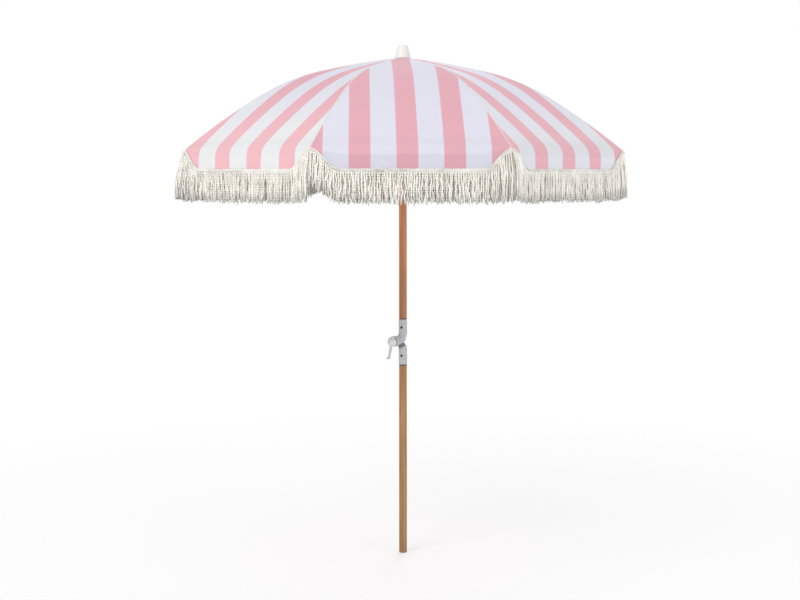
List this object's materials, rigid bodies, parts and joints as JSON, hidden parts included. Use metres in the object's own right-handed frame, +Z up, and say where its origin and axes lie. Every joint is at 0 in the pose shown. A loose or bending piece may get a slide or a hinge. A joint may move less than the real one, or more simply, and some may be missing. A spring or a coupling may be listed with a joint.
{
  "type": "fringed beach umbrella",
  "caption": "Tilting beach umbrella with a wooden pole, a swivel knuckle with a clamp lever, a folding rib canopy in striped cloth and a tasselled cotton fringe.",
  "frame": {"origin": "centre of the pole's bottom end", "axes": "+Z up along the pole, -Y towards the middle of one canopy panel, the tilt knuckle's clamp lever towards -X and -Y"},
  "size_m": [1.668, 1.668, 2.07],
  "materials": {
    "light_wood": "satin varnish",
    "red_wood": "satin varnish",
    "grey_enamel": "powder coat",
    "dark_nylon": "matte",
    "white_plastic": "satin",
    "zinc_steel": "zinc plated",
    "black_screw": "black oxide",
    "cream_plastic": "satin",
    "cream_knob": "gloss",
    "white_rod": "white enamel",
    "canopy_cloth": "woven stripe",
    "valance_cloth": "woven stripe",
    "cotton_fringe": "knotted cotton"
  },
  "bodies": {
    "lower_pole": {"lower_pole": "light_wood", "lower_knuckle": "grey_enamel", "swivel_core": "dark_nylon", "lower_socket_screws": "black_screw"},
    "upper_pole": {"upper_pole": "red_wood", "upper_knuckle": "grey_enamel", "clamp_washer": "dark_nylon", "upper_socket_screws": "black_screw", "crown": "cream_plastic", "crown_pins": "zinc_steel", "finial": "cream_plastic", "finial_stud": "zinc_steel"},
    "clamp_lever": {"clamp_lever": "white_plastic", "clamp_screw": "zinc_steel"},
    "runner": {"runner": "cream_plastic", "runner_pins": "zinc_steel"},
    "lock_knob": {"lock_knob": "cream_knob"},
    "rib_1": {"rib_1": "white_rod", "gore_1": "canopy_cloth"},
    "stretcher_1": {"stretcher_1": "white_rod"},
    "valance_1": {"valance_1": "valance_cloth", "fringe_1": "cotton_fringe"},
    "rib_2": {"rib_2": "white_rod", "gore_2": "canopy_cloth"},
    "stretcher_2": {"stretcher_2": "white_rod"},
    "valance_2": {"valance_2": "valance_cloth", "fringe_2": "cotton_fringe"},
    "rib_3": {"rib_3": "white_rod", "gore_3": "canopy_cloth"},
    "stretcher_3": {"stretcher_3": "white_rod"},
    "valance_3": {"valance_3": "valance_cloth", "fringe_3": "cotton_fringe"},
    "rib_4": {"rib_4": "white_rod", "gore_4": "canopy_cloth"},
    "stretcher_4": {"stretcher_4": "white_rod"},
    "valance_4": {"valance_4": "valance_cloth", "fringe_4": "cotton_fringe"},
    "rib_5": {"rib_5": "white_rod", "gore_5": "canopy_cloth"},
    "stretcher_5": {"stretcher_5": "white_rod"},
    "valance_5": {"valance_5": "valance_cloth", "fringe_5": "cotton_fringe"},
    "rib_6": {"rib_6": "white_rod", "gore_6": "canopy_cloth"},
    "stretcher_6": {"stretcher_6": "white_rod"},
    "valance_6": {"valance_6": "valance_cloth", "fringe_6": "cotton_fringe"},
    "rib_7": {"rib_7": "white_rod", "gore_7": "canopy_cloth"},
    "stretcher_7": {"stretcher_7": "white_rod"},
    "valance_7": {"valance_7": "valance_cloth", "fringe_7": "cotton_fringe"},
    "rib_8": {"rib_8": "white_rod", "gore_8": "canopy_cloth"},
    "stretcher_8": {"stretcher_8": "white_rod"},
    "valance_8": {"valance_8": "valance_cloth", "fringe_8": "cotton_fringe"}
  },
  "joints": [
    {"name": "tilt", "type": "hinge", "parent": "lower_pole", "child": "upper_pole", "pos_m": [-0.01196, 0, 0.86199], "axis": [-0.4695, 0, 0.8829], "range_deg": [0, 180]},
    {"name": "clamp_turn", "type": "hinge", "parent": "upper_pole", "child": "clamp_lever", "pos_m": [-0.04325, -0.0317, 0.869], "axis": [-0.6561, -0.7547, 0], "range_deg": [0, 120]},
    {"name": "rib_1_fold", "type": "hinge", "parent": "upper_pole", "child": "rib_1", "pos_m": [-0.00957, -0.0231, 2.013], "axis": [0.9239, -0.3827, 0], "range_deg": [0, 65], "deforming": ["gore_1", "valance_1", "fringe_1", "gore_2", "valance_2", "fringe_2", "gore_3", "valance_3", "fringe_3", "gore_4", "valance_4", "fringe_4", "gore_5", "valance_5", "fringe_5", "gore_6", "valance_6", "fringe_6", "gore_7", "valance_7", "fringe_7", "gore_8", "valance_8", "fringe_8"]},
    {"name": "stretcher_1_swing", "type": "hinge", "parent": "rib_1", "child": "stretcher_1", "pos_m": [-0.16455, -0.39727, 1.91698], "axis": [0.9239, -0.3827, 0], "range_deg": [-130, 0]},
    {"name": "valance_1_hang", "type": "hinge", "parent": "rib_1", "child": "valance_1", "pos_m": [-0.33942, -0.81943, 1.64115], "axis": [0.9239, -0.3827, 0], "range_deg": [-65, 0]},
    {"name": "rib_2_fold", "type": "hinge", "parent": "upper_pole", "child": "rib_2", "pos_m": [0.00957, -0.0231, 2.013], "axis": [0.9239, 0.3827, 0], "range_deg": [0, 65]},
    {"name": "stretcher_2_swing", "type": "hinge", "parent": "rib_2", "child": "stretcher_2", "pos_m": [0.16455, -0.39727, 1.91698], "axis": [0.9239, 0.3827, 0], "range_deg": [-130, 0]},
    {"name": "valance_2_hang", "type": "hinge", "parent": "rib_2", "child": "valance_2", "pos_m": [0.33942, -0.81943, 1.64115], "axis": [0.9239, 0.3827, 0], "range_deg": [-65, 0]},
    {"name": "rib_3_fold", "type": "hinge", "parent": "upper_pole", "child": "rib_3", "pos_m": [0.0231, -0.00957, 2.013], "axis": [0.3827, 0.9239, 0], "range_deg": [0, 65]},
    {"name": "stretcher_3_swing", "type": "hinge", "parent": "rib_3", "child": "stretcher_3", "pos_m": [0.39727, -0.16455, 1.91698], "axis": [0.3827, 0.9239, 0], "range_deg": [-130, 0]},
    {"name": "valance_3_hang", "type": "hinge", "parent": "rib_3", "child": "valance_3", "pos_m": [0.81943, -0.33942, 1.64115], "axis": [0.3827, 0.9239, 0], "range_deg": [-65, 0]},
    {"name": "rib_4_fold", "type": "hinge", "parent": "upper_pole", "child": "rib_4", "pos_m": [0.0231, 0.00957, 2.013], "axis": [-0.3827, 0.9239, 0], "range_deg": [0, 65]},
    {"name": "stretcher_4_swing", "type": "hinge", "parent": "rib_4", "child": "stretcher_4", "pos_m": [0.39727, 0.16455, 1.91698], "axis": [-0.3827, 0.9239, 0], "range_deg": [-130, 0]},
    {"name": "valance_4_hang", "type": "hinge", "parent": "rib_4", "child": "valance_4", "pos_m": [0.81943, 0.33942, 1.64115], "axis": [-0.3827, 0.9239, 0], "range_deg": [-65, 0]},
    {"name": "rib_5_fold", "type": "hinge", "parent": "upper_pole", "child": "rib_5", "pos_m": [0.00957, 0.0231, 2.013], "axis": [-0.9239, 0.3827, 0], "range_deg": [0, 65]},
    {"name": "stretcher_5_swing", "type": "hinge", "parent": "rib_5", "child": "stretcher_5", "pos_m": [0.16455, 0.39727, 1.91698], "axis": [-0.9239, 0.3827, 0], "range_deg": [-130, 0]},
    {"name": "valance_5_hang", "type": "hinge", "parent": "rib_5", "child": "valance_5", "pos_m": [0.33942, 0.81943, 1.64115], "axis": [-0.9239, 0.3827, 0], "range_deg": [-65, 0]},
    {"name": "rib_6_fold", "type": "hinge", "parent": "upper_pole", "child": "rib_6", "pos_m": [-0.00957, 0.0231, 2.013], "axis": [-0.9239, -0.3827, 0], "range_deg": [0, 65]},
    {"name": "stretcher_6_swing", "type": "hinge", "parent": "rib_6", "child": "stretcher_6", "pos_m": [-0.16455, 0.39727, 1.91698], "axis": [-0.9239, -0.3827, 0], "range_deg": [-130, 0]},
    {"name": "valance_6_hang", "type": "hinge", "parent": "rib_6", "child": "valance_6", "pos_m": [-0.33942, 0.81943, 1.64115], "axis": [-0.9239, -0.3827, 0], "range_deg": [-65, 0]},
    {"name": "rib_7_fold", "type": "hinge", "parent": "upper_pole", "child": "rib_7", "pos_m": [-0.0231, 0.00957, 2.013], "axis": [-0.3827, -0.9239, 0], "range_deg": [0, 65]},
    {"name": "stretcher_7_swing", "type": "hinge", "parent": "rib_7", "child": "stretcher_7", "pos_m": [-0.39727, 0.16455, 1.91698], "axis": [-0.3827, -0.9239, 0], "range_deg": [-130, 0]},
    {"name": "valance_7_hang", "type": "hinge", "parent": "rib_7", "child": "valance_7", "pos_m": [-0.81943, 0.33942, 1.64115], "axis": [-0.3827, -0.9239, 0], "range_deg": [-65, 0]},
    {"name": "rib_8_fold", "type": "hinge", "parent": "upper_pole", "child": "rib_8", "pos_m": [-0.0231, -0.00957, 2.013], "axis": [0.3827, -0.9239, 0], "range_deg": [0, 65]},
    {"name": "stretcher_8_swing", "type": "hinge", "parent": "rib_8", "child": "stretcher_8", "pos_m": [-0.39727, -0.16455, 1.91698], "axis": [0.3827, -0.9239, 0], "range_deg": [-130, 0]},
    {"name": "valance_8_hang", "type": "hinge", "parent": "rib_8", "child": "valance_8", "pos_m": [-0.81943, -0.33942, 1.64115], "axis": [0.3827, -0.9239, 0], "range_deg": [-65, 0]},
    {"name": "runner_pivot", "type": "hinge", "parent": "stretcher_1", "child": "runner", "pos_m": [-0.00957, -0.0231, 1.82095], "axis": [0.9239, -0.3827, 0], "range_deg": [0, 65]},
    {"name": "lock_pin", "type": "slide", "parent": "runner", "child": "lock_knob", "axis": [1, 0, 0], "range_m": [0, 0.0065]}
  ],
  "couplings": [
    {"joint": "stretcher_1_swing", "follows": "rib_1_fold", "ratio": -2},
    {"joint": "valance_1_hang", "follows": "rib_1_fold", "ratio": -1},
    {"joint": "rib_2_fold", "follows": "rib_1_fold", "ratio": 1},
    {"joint": "stretcher_2_swing", "follows": "rib_1_fold", "ratio": -2},
    {"joint": "valance_2_hang", "follows": "rib_1_fold", "ratio": -1},
    {"joint": "rib_3_fold", "follows": "rib_1_fold", "ratio": 1},
    {"joint": "stretcher_3_swing", "follows": "rib_1_fold", "ratio": -2},
    {"joint": "valance_3_hang", "follows": "rib_1_fold", "ratio": -1},
    {"joint": "rib_4_fold", "follows": "rib_1_fold", "ratio": 1},
    {"joint": "stretcher_4_swing", "follows": "rib_1_fold", "ratio": -2},
    {"joint": "valance_4_hang", "follows": "rib_1_fold", "ratio": -1},
    {"joint": "rib_5_fold", "follows": "rib_1_fold", "ratio": 1},
    {"joint": "stretcher_5_swing", "follows": "rib_1_fold", "ratio": -2},
    {"joint": "valance_5_hang", "follows": "rib_1_fold", "ratio": -1},
    {"joint": "rib_6_fold", "follows": "rib_1_fold", "ratio": 1},
    {"joint": "stretcher_6_swing", "follows": "rib_1_fold", "ratio": -2},
    {"joint": "valance_6_hang", "follows": "rib_1_fold", "ratio": -1},
    {"joint": "rib_7_fold", "follows": "rib_1_fold", "ratio": 1},
    {"joint": "stretcher_7_swing", "follows": "rib_1_fold", "ratio": -2},
    {"joint": "valance_7_hang", "follows": "rib_1_fold", "ratio": -1},
    {"joint": "rib_8_fold", "follows": "rib_1_fold", "ratio": 1},
    {"joint": "stretcher_8_swing", "follows": "rib_1_fold", "ratio": -2},
    {"joint": "valance_8_hang", "follows": "rib_1_fold", "ratio": -1},
    {"joint": "runner_pivot", "follows": "rib_1_fold", "ratio": 1}
  ]
}
